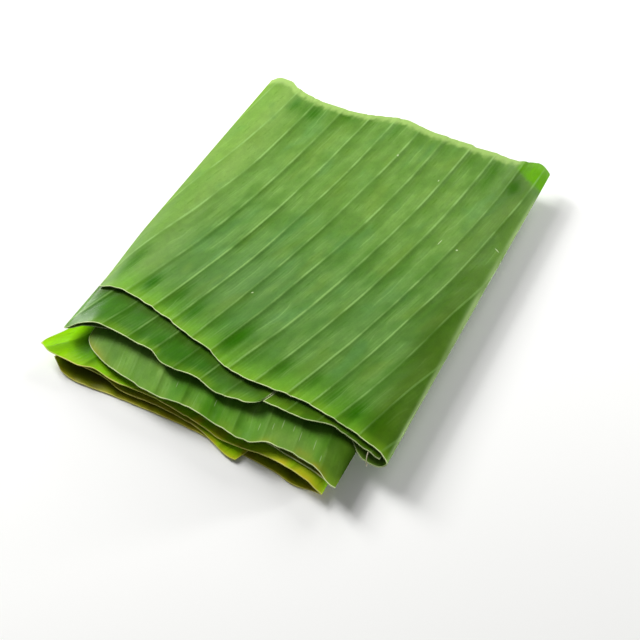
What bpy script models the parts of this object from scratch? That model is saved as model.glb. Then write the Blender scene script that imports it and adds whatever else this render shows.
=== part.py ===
"""A packet of folded banana leaf: three half blades rolled flat, one lying on the other.

Frame: metres, +Z up. The origin is on the surface that the packet rests on, under the middle of
its footprint. +X runs across the folds to the right, +Y along the folds from the wavy margin of
the leaf (front) to the edge that was cut from the midrib (back).

Each piece is a strip of leaf. Its section is a path in X and Z, seen along the folds, and its
outline is a front and a back margin along that path. Sheet 0 is the part of the path before the
first fold, sheet 1 the part before the second, and so on. All lengths below are in millimetres.
Sections and outlines count from a point near the middle of the top sheet. FOOT_MIDDLE_X and
FOOT_MIDDLE_Y are the middle of the whole footprint from there, and become the origin.
"""
import bpy
import numpy as np

MM = 0.001
BLADE = 0.8
TURN_PER_STEP = 0.42
ROWS = (0.0, 0.05, 0.2, 0.4, 0.6, 0.78, 0.9, 0.965, 1.0)
LIP_REACH = 34.0
END_REACH = 30.0
FLARE_FROM = -90.0
FLARE_OVER = 60.0
FOLD_CALM = 14.0

VEIN_PITCH = 21.0
VEIN_START = 7.2
VEIN_HEIGHT = 0.55
VEIN_LEAN = 0.07
VEIN_BEND = 0.0005

LEAN_RIGHT = 0.012
LEAN_FROM = -60.0
LEAN_OVER = 160.0
FRONT_Y = -130.0
PRESS_FROM = 85.0
PRESS_OVER = 35.0
PRESS_FRONT = -110.0
PRESS_DEEP = 70.0
PRESS_Z = 17.5
SURFACE = 0.0
FOOT_MIDDLE_X = -1.97
FOOT_MIDDLE_Y = 3.17

TOP = {
    "section": (
        (-118.0, 23.4), (-110.0, 24.7), (-98.0, 25.2), (-30.0, 24.7), (50.0, 25.2), (90.0, 24.8),
        (109.0, 23.4), (118.6, 20.8), (123.2, 16.9), (120.4, 13.7), (114.0, 12.8), (106.0, 14.1),
        (98.0, 16.3), (82.0, 17.1), (36.0, 16.8), (-24.0, 16.2), (-84.0, 16.5), (-108.0, 17.0),
        (-117.4, 17.6), (-120.2, 19.4), (-117.6, 21.2), (-108.0, 21.7), (-60.0, 21.4),
        (0.0, 20.8), (56.0, 21.3), (92.0, 20.9), (110.0, 19.4), (118.0, 17.7)),
    "front": (
        (0, -118, -97), (0, -108, -93.5), (0, -97, -93), (0, -79, -96), (0, -61, -99), (0, -40, -105),
        (0, -21, -109), (0, -3, -116), (0, 14, -118), (0, 55, -117), (0, 70, -118), (0, 89, -121),
        (0, 110, -125), (0, 120, -128), (1, 117, -132), (1, 106, -132), (1, 98, -126), (1, 84, -117),
        (1, 40, -116), (1, -60, -116), (1, -108, -126), (2, -118, -137), (2, -112, -131),
        (2, -101, -125.5), (2, -86, -125), (2, -56, -126), (2, -42, -132), (2, -17, -131),
        (2, 3, -135), (2, 20, -133), (2, 27, -131), (2, 30, -124), (2, 33, -127), (2, 62, -127),
        (2, 78, -123), (2, 96, -126), (2, 117, -129)),
    "back": (
        (0, -118, 158.5), (0, -114, 163), (0, -108, 164.5), (0, -101, 162.5), (0, -92, 157.5),
        (0, -61, 152.5), (0, -35, 154), (0, 4, 164), (0, 22, 161), (0, 64, 160), (0, 88, 160),
        (0, 97, 162.5), (0, 105, 167), (0, 113, 171), (0, 119, 168), (1, 120, 161), (1, 110, 158),
        (1, 20, 157), (1, -100, 155), (2, -110, 156), (2, -30, 151), (2, 60, 156), (2, 117, 157)),
    "lift": (
        (0, -118, -0.6), (0, -104, 0.0), (1, 0, 0.0), (2, -118, 0.0), (2, -102, 2.2),
        (2, -80, 0.8), (2, -56, 0.6), (2, -20, 0.0), (2, 28, 0.0), (2, 60, 0.7), (2, 117, 0.0)),
    "step": (5.0, 13.0, 6.5),
    "veins": (1.0, 0.0, 0.7),
    "lean": 1.0,
    "end_slant": 0.0,
    "end_flare": 2.2,
    "press": 0.6,
    "colour": (0.26, 0.43, 0.13)}

MIDDLE = {
    "section": (
        (-104.0, 15.0), (-94.0, 15.1), (-60.0, 14.6), (-24.0, 14.2), (36.0, 14.8), (72.0, 15.55),
        (90.0, 15.4), (98.0, 14.8), (101.2, 13.5), (98.0, 12.2), (90.0, 11.8), (72.0, 11.8),
        (36.0, 11.6), (-24.0, 11.0), (-72.0, 10.7)),
    "front": (
        (0, -104, -122), (0, -102, -134), (0, -92, -142), (0, -76, -147), (0, -49, -151),
        (0, -30, -151.5), (0, -17, -150), (0, 17, -154), (0, 36, -155), (0, 49, -149.5), (0, 74, -150),
        (0, 87, -153), (0, 99, -158), (1, 90, -154), (1, 20, -146), (1, -72, -140)),
    "back": (
        (0, -104, 149), (0, -60, 156), (0, 20, 150), (0, 99, 157), (1, 80, 153), (1, 0, 146),
        (1, -72, 149)),
    "lift": ((0, -104, 0.4), (0, -60, 0.0), (0, 30, 0.0), (0, 48, 0.9), (0, 70, 0.2), (1, 0, 0.0)),
    "step": (6.0, 14.0),
    "veins": (0.8, 0.0),
    "lean": -1.0,
    "end_slant": 0.0,
    "end_flare": 0.0,
    "press": 0.0,
    "colour": (0.30, 0.45, 0.13)}

BOTTOM = {
    "section": (
        (-120.0, 11.4), (-104.0, 10.6), (-84.0, 9.8), (-40.0, 8.4), (-12.0, 6.2), (8.0, 4.9), (28.0, 5.8),
        (50.0, 9.2), (70.0, 10.35), (82.0, 9.95), (91.0, 7.7), (94.0, 5.0), (90.4, 2.1),
        (82.0, 0.6), (70.0, 0.4), (36.0, 0.38), (-34.0, 0.38), (-84.0, 0.4), (-104.0, 0.9),
        (-114.6, 2.5), (-119.4, 5.4), (-116.0, 7.7), (-108.0, 7.2), (-88.0, 5.5), (-56.0, 4.0),
        (-20.0, 3.0), (6.0, 2.6), (36.0, 2.6)),
    "front": (
        (0, -120, -151), (0, -112, -154), (0, -98, -154), (0, -87, -151), (0, -69, -153),
        (0, -40, -151), (0, -19, -152), (0, 2, -154), (0, 20, -157), (0, 45, -156), (0, 65, -157),
        (0, 83, -160), (0, 92, -162), (1, 88, -160.5), (1, 74, -162), (1, 55, -159), (1, 37, -158),
        (1, -15, -157), (1, -69, -159), (1, -98, -161), (1, -110, -159), (1, -118, -154),
        (2, -114, -151), (2, -82, -151), (2, -60, -155), (2, -39, -153), (2, -10, -154),
        (2, 8, -158), (2, 25, -164), (2, 31, -165), (2, 36, -155)),
    "back": (
        (0, -120, 146), (0, -70, 152), (0, 10, 147), (0, 92, 154), (1, 80, 150), (1, -20, 156),
        (1, -110, 150), (2, -90, 146), (2, 36, 144)),
    "lift": ((0, -120, 0.5), (0, -60, 0.0), (1, 0, 0.0), (2, -10, 0.0), (2, 14, -0.6), (2, 36, -0.8)),
    "step": (7.0, 11.0, 10.0),
    "veins": (0.6, 0.0, 0.0),
    "lean": 1.0,
    "end_slant": 11.0,
    "end_flare": 0.0,
    "press": 0.0,
    "colour": (0.33, 0.50, 0.06)}


def hermite(knots, values, slopes, at):
    """Cubic between knots with the given slopes, for values of one or more columns."""
    i = np.clip(np.searchsorted(knots, at, side="right") - 1, 0, len(knots) - 2)
    gap = (knots[i + 1] - knots[i])[:, None]
    u = (at - knots[i])[:, None] / gap
    a, b = values[i], values[i + 1]
    return (a * (1 + 2 * u) * (1 - u) ** 2 + b * u ** 2 * (3 - 2 * u)
            + slopes[i] * gap * u * (1 - u) ** 2 - slopes[i + 1] * gap * u ** 2 * (1 - u))


def flowing(points):
    """A round path through points of X and Z: fine samples and the length along it."""
    values = np.array(points, float)
    knots = np.append(0.0, np.cumsum(np.sqrt(np.linalg.norm(np.diff(values, axis=0), axis=1))))
    slopes = np.gradient(values, knots, axis=0)
    fine = hermite(knots, values, slopes, np.linspace(0, knots[-1], 6000))
    length = np.append(0.0, np.cumsum(np.linalg.norm(np.diff(fine, axis=0), axis=1)))
    return fine, length


def margin(outline, fine, length):
    """A function of the length along the strip, read from points of (sheet, X, value)."""
    turns = np.flatnonzero(np.diff(np.sign(np.diff(fine[:, 0])))) + 1
    cuts = [0, *turns, len(fine)]
    knots = []
    values = []
    for sheet, x, value in outline:
        run = slice(cuts[sheet], cuts[sheet + 1])
        order = np.argsort(fine[run, 0])
        knots.append(np.interp(x, fine[run, 0][order], length[run][order]))
        values.append(float(value))
    knots = np.array(knots)
    values = np.array(values)
    rise = np.diff(values) / np.diff(knots)
    slopes = np.zeros_like(values)
    same = rise[:-1] * rise[1:] > 0
    slopes[1:-1][same] = 2 * rise[:-1][same] * rise[1:][same] / (rise[:-1] + rise[1:])[same]

    def read(at):
        inside = np.clip(at, knots[0], knots[-1])
        return hermite(knots, values[:, None], slopes[:, None], inside)[:, 0]

    return read, length[turns]


def columns(fine, length, folds, step):
    """Lengths at which the strip gets a column: close together where the section bends."""
    direction = np.unwrap(np.arctan2(np.gradient(fine[:, 1]), np.gradient(fine[:, 0])))
    bend = np.abs(np.gradient(direction, length))
    sheet = np.searchsorted(folds, length)
    density = np.maximum(1 / np.array(step)[sheet], bend / TURN_PER_STEP)
    total = np.append(0.0, np.cumsum((density[1:] + density[:-1]) / 2 * np.diff(length)))
    count = int(np.ceil(total[-1]))
    return np.interp(np.linspace(0, total[-1], count + 1), total, length)


def smooth_step(u):
    """0 below 0, 1 above 1, with level ends."""
    u = np.clip(u, 0, 1)
    return u * u * (3 - 2 * u)


def strip_grid(leaf):
    """Points of the middle surface of a folded strip, in rows from the back to the front."""
    fine, length = flowing(leaf["section"])
    front, folds = margin(leaf["front"], fine, length)
    back, _ = margin(leaf["back"], fine, length)
    lift, _ = margin(leaf["lift"], fine, length)
    along = columns(fine, length, folds, leaf["step"])
    x = np.interp(along, length, fine[:, 0])
    z = np.interp(along, length, fine[:, 1])
    share = np.array(ROWS)[:, None]
    y = back(along) + (front(along) - back(along)) * share
    reach = y - front(along)
    lip = 1 - smooth_step(reach / LIP_REACH)

    # the first free end slants towards its front corner, or spreads a little at the back
    near_start = 1 - smooth_step(along / END_REACH)
    behind = smooth_step((y - FLARE_FROM) / FLARE_OVER)
    x = x - near_start * (leaf["end_slant"] * lip ** 2 + leaf["end_flare"] * behind)
    z = z + lift(along) * lip

    # behind its open front the right fold of the top piece is pressed nearly shut
    deep = smooth_step((y - PRESS_FRONT) / PRESS_DEEP)
    press = leaf["press"] * deep * smooth_step((x - PRESS_FROM) / PRESS_OVER)
    z = PRESS_Z + (z - PRESS_Z) * (1 - press)

    # side veins leave the midrib almost straight and bend towards the tip of the leaf
    sheet = np.searchsorted(folds, along)
    strength = np.array(leaf["veins"])[sheet]
    fade = np.min(np.abs(along[:, None] - np.append(folds, [0, length[-1]])), axis=1) / FOLD_CALM
    down = back(along) - y
    bend = VEIN_LEAN * down + VEIN_BEND * down ** 2
    phase = (along - VEIN_START + leaf["lean"] * bend) / VEIN_PITCH
    ridge = (0.5 + 0.5 * np.cos(2 * np.pi * phase)) ** 2
    height = VEIN_HEIGHT * strength * smooth_step(fade) * (ridge - 0.4)

    # the whole packet leans a little to the right towards the back
    x = x + LEAN_RIGHT * (y - FRONT_Y) * smooth_step((x - LEAN_FROM) / LEAN_OVER)
    return np.stack([x - FOOT_MIDDLE_X, y - FOOT_MIDDLE_Y, z + 0 * y], axis=2), height


def normals(grid):
    """Unit vectors across the strip, upward on its first sheet."""
    cross = np.cross(np.gradient(grid, axis=1), -np.gradient(grid, axis=0))
    return cross / np.linalg.norm(cross, axis=2, keepdims=True)


def closed_blade(name, leaf):
    """One closed body: an upper and a lower skin on one grid, and a rim between them."""
    grid, height = strip_grid(leaf)
    across = normals(grid)
    grid = grid + across * height[..., None]
    across = normals(grid)
    rows, cols, _ = grid.shape
    upper = grid + across * BLADE / 2
    lower = grid - across * BLADE / 2
    points = np.concatenate([upper.reshape(-1, 3), lower.reshape(-1, 3)])
    points[:, 2] = np.maximum(points[:, 2], SURFACE)
    index = np.arange(rows * cols).reshape(rows, cols)
    a, b = index[:-1, :-1].ravel(), index[:-1, 1:].ravel()
    c, d = index[1:, 1:].ravel(), index[1:, :-1].ravel()
    skin = np.concatenate([np.stack([a, d, b], 1), np.stack([b, d, c], 1)])
    under = skin[:, ::-1] + rows * cols
    ring = np.concatenate([index[0, :-1], index[:-1, -1], index[-1, :0:-1], index[:0:-1, 0]])
    after = np.roll(ring, -1)
    rim = np.concatenate([
        np.stack([ring, after, after + rows * cols], 1),
        np.stack([ring, after + rows * cols, ring + rows * cols], 1)])
    mesh = bpy.data.meshes.new(name)
    mesh.from_pydata((points * MM).tolist(), [], np.concatenate([skin, under, rim]).tolist())
    mesh.shade_smooth()
    mesh.set_sharp_from_angle(angle=np.radians(50))
    body = bpy.data.objects.new(name, mesh)
    bpy.context.scene.collection.objects.link(body)
    mesh.materials.append(leaf_material(name + "_blade", leaf["colour"]))
    print(name, len(mesh.polygons), "triangles, box", points.min(0).round(1), points.max(0).round(1))
    return body


def leaf_material(name, colour):
    """A waxy leaf: dielectric, half matt."""
    material = bpy.data.materials.new(name)
    material.use_nodes = True
    shader = material.node_tree.nodes["Principled BSDF"]
    shader.inputs["Base Color"].default_value = (*colour, 1.0)
    shader.inputs["Roughness"].default_value = 0.45
    shader.inputs["Metallic"].default_value = 0.0
    return material


for old in list(bpy.data.objects):
    bpy.data.objects.remove(old)

closed_blade("leaf_top", TOP)
closed_blade("leaf_middle", MIDDLE)
closed_blade("leaf_bottom", BOTTOM)
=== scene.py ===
# %% [markdown]
# # A packet of folded banana leaf
#
# Banana leaf is sold in flat packets. The supplier strips the two half blades from the midrib,
# folds each one over on itself like a letter, and lays a few on top of each other. This lesson
# dresses a plain solid model of such a packet: every blade becomes a thin, pleated, veined skin
# with a pale margin and light that shines through it.
#
# The solid model is loaded first. It fixes where every piece is and how large it is.

# %% Load the solid model
import bpy
import numpy as np
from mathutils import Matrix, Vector


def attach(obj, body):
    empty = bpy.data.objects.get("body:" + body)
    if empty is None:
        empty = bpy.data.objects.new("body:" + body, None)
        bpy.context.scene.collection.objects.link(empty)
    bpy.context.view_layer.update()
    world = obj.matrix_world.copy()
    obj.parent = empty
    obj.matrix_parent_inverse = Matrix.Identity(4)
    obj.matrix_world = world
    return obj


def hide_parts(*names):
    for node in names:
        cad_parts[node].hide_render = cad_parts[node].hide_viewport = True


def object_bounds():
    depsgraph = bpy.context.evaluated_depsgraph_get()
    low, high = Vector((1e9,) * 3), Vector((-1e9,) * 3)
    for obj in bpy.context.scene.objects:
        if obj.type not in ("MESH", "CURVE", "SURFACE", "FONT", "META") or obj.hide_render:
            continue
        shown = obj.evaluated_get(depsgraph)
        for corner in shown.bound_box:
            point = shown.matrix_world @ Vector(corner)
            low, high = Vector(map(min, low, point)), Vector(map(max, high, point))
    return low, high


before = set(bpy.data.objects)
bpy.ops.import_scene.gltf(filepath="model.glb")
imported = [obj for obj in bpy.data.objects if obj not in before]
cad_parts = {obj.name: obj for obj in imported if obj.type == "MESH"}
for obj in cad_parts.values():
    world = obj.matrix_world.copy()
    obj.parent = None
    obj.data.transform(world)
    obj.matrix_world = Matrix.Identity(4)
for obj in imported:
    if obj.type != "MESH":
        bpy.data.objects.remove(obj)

CAD_LOW, CAD_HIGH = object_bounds()
print("nodes:", sorted(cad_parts))
print("solid model in mm:", [round(1000 * (h - l), 1) for l, h in zip(CAD_LOW, CAD_HIGH)])

# %% [markdown]
# ## Driving sizes
#
# The sizes come from the plant. A fresh blade is about half a millimetre thick, with a slightly
# thicker margin. Its side veins run from the midrib to the margin almost side by side; every
# 21 mm one stands out strongly, and between two of those lie about eight weak ones. VEIN_LEAN and
# VEIN_BEND say how a vein bends towards the tip. The depths say how far pleats, grooves, sags and
# dents leave the smooth sheet. Lengths are in millimetres, as a grower would give them, and are
# turned to metres when a mesh is made. They count from a point near the middle of the top sheet,
# and FOOT_MIDDLE, the middle of the whole footprint, becomes the origin.

# %% Sizes of a banana blade
MM = 0.001
BLADE_THICK = 0.55
MARGIN_BEAD = 0.15
VEIN_PITCH = 21.0
VEIN_START = 7.2
VEIN_LEAN = 0.07
VEIN_BEND = 0.0005
PLEAT_DEPTH = 0.6
VEIN_RISE = 0.16
GROOVE_DEPTH = 0.3
SAG_DEPTH = 0.7
DENT_DEPTH = 0.28
RIPPLE_DEPTH = 0.55
RIPPLE_LENGTH = 5.5
WEAK_VEINS = 8
FOOT_MIDDLE = np.array([-1.97, 3.17, 0.0])
print("weak veins every", round(VEIN_PITCH / WEAK_VEINS, 1), "mm")

# %% [markdown]
# ## Round curves through a few points
#
# A folded sheet, seen from its end, is one long line that turns back on itself. It could be drawn
# with Bezier handles, but a smooth curve through chosen points is easier to read. The curve is
# made of cubic pieces, and each point's slope comes from its two neighbours.

# %% Smooth curves
FINE_POINTS = 12000


def smooth_step(u):
    """3u² - 2u³ between 0 and 1: a step with level ends."""
    u = np.clip(u, 0, 1)
    return u * u * (3 - 2 * u)


def hermite(knots, values, slopes, at):
    """Cubic pieces: the start and end value plus each end's slope, blended by powers of u."""
    i = np.clip(np.searchsorted(knots, at, side="right") - 1, 0, len(knots) - 2)
    gap = (knots[i + 1] - knots[i])[:, None]
    u = (at - knots[i])[:, None] / gap
    return (values[i] * (1 + 2 * u) * (1 - u) ** 2 + values[i + 1] * u ** 2 * (3 - 2 * u)
            + slopes[i] * gap * u * (1 - u) ** 2 - slopes[i + 1] * gap * u ** 2 * (1 - u))


def flowing(points):
    """Round path through (X, Z) points: knots are spaced by the square root of each chord."""
    values = np.array(points, float)
    chords = np.linalg.norm(np.diff(values, axis=0), axis=1)
    knots = np.append(0.0, np.cumsum(np.sqrt(chords)))
    slopes = np.gradient(values, knots, axis=0)
    fine = hermite(knots, values, slopes, np.linspace(0, knots[-1], FINE_POINTS))
    length = np.append(0.0, np.cumsum(np.linalg.norm(np.diff(fine, axis=0), axis=1)))
    return fine, length


_, fold_length = flowing([(0, 0), (9, 0), (12, 3), (9, 6), (0, 6)])
print("a small fold uses", round(fold_length[-1], 1), "mm of leaf")

# %% [markdown]
# ## Margins along the strip
#
# The front margin of a half blade is the leaf's own wavy edge, and the back one is where it was
# cut from the midrib. Both are known where they show: at this X, on this sheet of the fold, the
# margin lies at this Y. The function below finds how far along the strip each such point lies and
# joins them with a curve that never overshoots, so a straight stretch stays straight.

# %% Outlines read along the strip
def along_strip(outline, path, length):
    """Lengths along the strip of (sheet, X, value) points, and where the sheets meet."""
    turns = np.flatnonzero(np.diff(np.sign(np.diff(path[:, 0])))) + 1
    cuts = [0, *turns, len(path)]
    places = []
    for sheet, x, _ in outline:
        run = slice(cuts[sheet], cuts[sheet + 1])
        order = np.argsort(path[run, 0])
        places.append(np.interp(x, path[run, 0][order], length[run][order]))
    return np.array(places), length[turns]


def margin(outline, path, length, at):
    """Cubic pieces whose slopes are the harmonic mean of both sides, or level at a turn."""
    knots, _ = along_strip(outline, path, length)
    values = np.array([point[2] for point in outline], float)
    rise = np.diff(values) / np.diff(knots)
    slopes = np.zeros_like(values)
    same = rise[:-1] * rise[1:] > 0
    slopes[1:-1][same] = 2 * rise[:-1][same] * rise[1:][same] / (rise[:-1] + rise[1:])[same]
    inside = np.clip(at, knots[0], knots[-1])
    return hermite(knots, values[:, None], slopes[:, None], inside)[:, 0]


flat_path, flat_length = flowing([(0, 0), (40, 0), (80, 0)])
half_way = margin([(0, 0, 1.0), (0, 80, 3.0)], flat_path, flat_length, [40.0])
print("a margin from Y 1 to Y 3 lies half way at", half_way.round(2))

# %% [markdown]
# ## The three blades
#
# Each blade is described as a maker would fold it: its section across the folds, from one free
# end to the other, and its two margins. Those numbers repeat the solid model's, because the
# dressed blade has to lie exactly where the solid one does. A margin point is (sheet, X, Y), and
# sheet 0 is the one before the first fold. `lift` says how far the front margin rises off the
# stack, and `lean` says which way the tip of the leaf pointed and how much the veins bend to it.
# `veins` are the places in X where the strong veins of the uppermost sheet leave the midrib.
# `slit` is a sheet, an X, a width, a depth and a slant. `step` is the spacing of the grid, and
# `pleats` and `dents` the strength of the relief, one value for each sheet. `ripple`, `press` and
# `sag` are strengths too. `end_slant` and `end_flare` say how many mm further the first free end
# reaches at its front and at its back.

# %% The uppermost blade
TOP = {
    "section": (
        (-118.0, 23.4), (-110.0, 24.7), (-98.0, 25.2), (-30.0, 24.7), (50.0, 25.2), (90.0, 24.8),
        (109.0, 23.4), (118.6, 20.8), (123.2, 16.9), (120.4, 13.7), (114.0, 12.8), (106.0, 14.1),
        (98.0, 16.3), (82.0, 17.1), (36.0, 16.8), (-24.0, 16.2), (-84.0, 16.5), (-108.0, 17.0),
        (-117.4, 17.6), (-120.2, 19.4), (-117.6, 21.2), (-108.0, 21.7), (-60.0, 21.4),
        (0.0, 20.8), (56.0, 21.3), (92.0, 20.9), (110.0, 19.4), (118.0, 17.7)),
    "front": (
        (0, -118, -97), (0, -108, -93.5), (0, -97, -93), (0, -79, -96), (0, -61, -99),
        (0, -40, -105), (0, -21, -109), (0, -3, -116), (0, 14, -118), (0, 55, -117),
        (0, 70, -118), (0, 89, -121), (0, 110, -125), (0, 120, -128), (1, 117, -132),
        (1, 106, -132), (1, 98, -126), (1, 84, -117), (1, 40, -116), (1, -60, -116),
        (1, -108, -126), (2, -118, -137), (2, -112, -131), (2, -101, -125.5), (2, -86, -125),
        (2, -56, -126), (2, -42, -132), (2, -17, -131), (2, 3, -135), (2, 20, -133),
        (2, 27, -131), (2, 33, -127), (2, 62, -127), (2, 78, -123), (2, 96, -126), (2, 117, -129)),
    "back": (
        (0, -118, 158.5), (0, -114, 163), (0, -108, 164.5), (0, -101, 162.5), (0, -92, 157.5),
        (0, -61, 152.5), (0, -35, 154), (0, 4, 164), (0, 22, 161), (0, 64, 160), (0, 88, 160),
        (0, 97, 162.5), (0, 105, 167), (0, 113, 171), (0, 119, 168), (1, 120, 161), (1, 110, 158),
        (1, 20, 157), (1, -100, 155), (2, -110, 156), (2, -30, 151), (2, 60, 156), (2, 117, 157)),
    "lift": (
        (0, -118, -0.6), (0, -104, 0.0), (1, 0, 0.0), (2, -118, 0.0), (2, -102, 2.2),
        (2, -80, 0.8), (2, -56, 0.6), (2, -20, 0.0), (2, 28, 0.0), (2, 60, 0.7), (2, 117, 0.0)),
    "veins": (-111.8, -91.8, -72.2, -48.4, -25.1, -6.2, 16.0, 37.1, 59.3, 79.3, 102.0, 118.0),
    "slit": (2, 31.5, 1.2, 13.0, 0.5),
    "step": (1.15, 6.0, 1.9),
    "pleats": (1.0, 0.25, 0.7),
    "dents": (0.25, 0.5, 0.9),
    "ripple": 1.0,
    "press": 0.6,
    "sag": 1.0,
    "lean": 1.0,
    "end_slant": 0.0,
    "end_flare": 2.2,
    "seed": 11}
print("points across the folds of the uppermost blade:", len(TOP["section"]))

# %% The middle blade
MIDDLE = {
    "section": (
        (-104.0, 15.0), (-94.0, 15.1), (-60.0, 14.6), (-24.0, 14.2), (36.0, 14.8), (72.0, 15.55),
        (90.0, 15.4), (98.0, 14.8), (101.2, 13.5), (98.0, 12.2), (90.0, 11.8), (72.0, 11.8),
        (36.0, 11.6), (-24.0, 11.0), (-72.0, 10.7)),
    "front": (
        (0, -104, -122), (0, -102, -134), (0, -92, -142), (0, -76, -147), (0, -49, -151),
        (0, -30, -151.5), (0, -17, -150), (0, 17, -154), (0, 36, -155), (0, 49, -149.5),
        (0, 74, -150), (0, 87, -153), (0, 99, -158), (1, 90, -154), (1, 20, -146),
        (1, -72, -140)),
    "back": (
        (0, -104, 149), (0, -60, 156), (0, 20, 150), (0, 99, 157), (1, 80, 153), (1, 0, 146),
        (1, -72, 149)),
    "lift": ((0, -104, 0.4), (0, -60, 0.0), (0, 30, 0.0), (0, 48, 0.9), (0, 70, 0.2), (1, 0, 0.0)),
    "veins": (),
    "slit": None,
    "step": (1.6, 7.0),
    "pleats": (0.34, 0.2),
    "dents": (1.0, 0.5),
    "ripple": 1.0,
    "press": 0.0,
    "sag": 0.0,
    "lean": -0.55,
    "end_slant": 0.0,
    "end_flare": 0.0,
    "seed": 23}
print("points across the folds of the middle blade:", len(MIDDLE["section"]))

# %% The lowest blade
BOTTOM = {
    "section": (
        (-120.0, 11.4), (-104.0, 10.6), (-84.0, 9.8), (-40.0, 8.4), (-12.0, 6.2), (8.0, 4.9),
        (28.0, 5.8), (50.0, 9.2), (70.0, 10.35), (82.0, 9.95), (91.0, 7.7), (94.0, 5.0),
        (90.4, 2.1), (82.0, 0.6), (70.0, 0.4), (36.0, 0.38), (-34.0, 0.38), (-84.0, 0.4),
        (-104.0, 0.9), (-114.6, 2.5), (-119.4, 5.4), (-116.0, 7.7), (-108.0, 7.2),
        (-88.0, 5.5), (-56.0, 4.0), (-20.0, 3.0), (6.0, 2.6), (36.0, 2.6)),
    "front": (
        (0, -120, -151), (0, -112, -154), (0, -98, -154), (0, -87, -151), (0, -69, -153),
        (0, -40, -151), (0, -19, -152), (0, 2, -154), (0, 20, -157), (0, 45, -156), (0, 65, -157),
        (0, 83, -160), (0, 92, -162), (1, 88, -160.5), (1, 74, -162), (1, 55, -159),
        (1, 37, -158), (1, -15, -157), (1, -69, -159), (1, -98, -161), (1, -110, -159),
        (1, -118, -154), (2, -114, -151), (2, -82, -151), (2, -60, -155), (2, -39, -153),
        (2, -10, -154), (2, 8, -158), (2, 25, -164), (2, 31, -165), (2, 36, -155)),
    "back": (
        (0, -120, 146), (0, -70, 152), (0, 10, 147), (0, 92, 154), (1, 80, 150), (1, -20, 156),
        (1, -110, 150), (2, -90, 146), (2, 36, 144)),
    "lift": ((0, -120, 0.5), (0, -60, 0.0), (1, 0, 0.0), (2, -10, 0.0), (2, 14, -0.6), (2, 36, -0.8)),
    "veins": (),
    "slit": None,
    "step": (1.8, 3.5, 4.0),
    "pleats": (0.5, 0.3, 0.3),
    "dents": (0.8, 0.5, 0.6),
    "ripple": 0.4,
    "press": 0.0,
    "sag": 0.0,
    "lean": 1.0,
    "end_slant": 11.0,
    "end_flare": 0.0,
    "seed": 37}
print("points across the folds of the lowest blade:", len(BOTTOM["section"]))

# %% [markdown]
# ## Columns and rows
#
# A blade is one grid: columns across the strip and rows from the back margin to the front one. A
# column is needed every millimetre or two where the sheet shows, and closer together inside a
# tight fold and at the slit. Rows crowd towards both margins, where the pale edge is.

# %% Where the grid lines go
TURN_PER_STEP = 0.16
ROW_STEP = 3.4
MARGIN_ROWS = (0.0, 0.35, 0.75, 1.3, 2.3, 4.0, 6.6)
FIRST_EVEN_ROW = 9.6
STRIP_DEPTH = 280.0
SLIT_COLUMNS = 4.0


def columns(path, length, folds, step, cut):
    """Equal steps of a sum that grows by 1 a step, and faster where the path bends or is cut."""
    direction = np.unwrap(np.arctan2(np.gradient(path[:, 1]), np.gradient(path[:, 0])))
    bend = np.abs(np.gradient(direction, length))
    sheet = np.searchsorted(folds, length)
    density = np.maximum(1 / np.array(step)[sheet], bend / TURN_PER_STEP)
    if cut:
        density = np.where(np.abs(length - cut[0]) < 1.5 * cut[1], SLIT_COLUMNS, density)
    total = np.append(0.0, np.cumsum((density[1:] + density[:-1]) / 2 * np.diff(length)))
    count = int(np.ceil(total[-1]))
    return np.interp(np.linspace(0, total[-1], count + 1), total, length)


def row_shares(width):
    """Shares of the way from back to front: even steps, with a few closer ones at each margin."""
    near = np.array(MARGIN_ROWS)
    middle = np.arange(FIRST_EVEN_ROW, width - FIRST_EVEN_ROW, ROW_STEP)
    return np.concatenate([near, middle, width - near[::-1]]) / width


ROWS = row_shares(STRIP_DEPTH)
print("rows:", len(ROWS))

# %% [markdown]
# ## Random but repeatable unevenness
#
# Nothing on a leaf is quite even. A small table of seeded random numbers, blended smoothly
# between its entries, gives the same gentle unevenness on every run.

# %% Soft noise
def soft_noise(u, v, seed):
    """Random values from -1 to 1 at whole u and v, blended in both directions by a smooth step."""
    table = np.random.default_rng(seed).uniform(-1, 1, (64, 64))
    i, j = np.floor(u).astype(int), np.floor(v).astype(int)
    a, b = smooth_step(u - i), smooth_step(v - j)
    low = table[i % 64, j % 64] * (1 - a) + table[(i + 1) % 64, j % 64] * a
    high = table[i % 64, (j + 1) % 64] * (1 - a) + table[(i + 1) % 64, (j + 1) % 64] * a
    return low * (1 - b) + high * b


print("sample of the noise:", soft_noise(np.arange(3) + 0.5, np.zeros(3), 5).round(2))

# %% [markdown]
# ## Pleats and veins
#
# Between two strong veins the blade hangs a little, so its section is a row of shallow, lopsided
# pleats: it drops quickly on one side of the vein and climbs slowly to the next. That drop is
# what draws the dark line beside each vein when light comes from one side. The veins leave the
# midrib almost straight and bend towards the tip as they near the margin. Near a fold and at a
# free end the relief is calmer, because the blade is stretched or pressed flat there.

# %% Relief of the blade
LIP_REACH = 34.0
END_REACH = 30.0
FLARE_FROM = -90.0
FLARE_OVER = 60.0
FOLD_CALM = 14.0
END_CALM = 62.0
DROP_SHARE = 0.13
VEINS_BEFORE = 4
VEINS_AFTER = 60
WAVER = 0.03
VEIN_WIDTH = 0.9
GROOVES = 3
GROOVE_WIDTH = 1.1
WAVER_SIZE = (19.0, 45.0)
LIVELY_SIZE = (21.0, 34.0)
GROOVE_SIZE = (7.0, 40.0)
DENT_SIZE = (8.0, 13.0)
SLACK_SIZE = (48.0, 75.0)


def vein_coordinate(along, down, lean):
    """Distance across the veins: length along the strip plus the sideways bend of a vein."""
    return along + lean * (VEIN_LEAN * down + VEIN_BEND * down ** 2)


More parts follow.
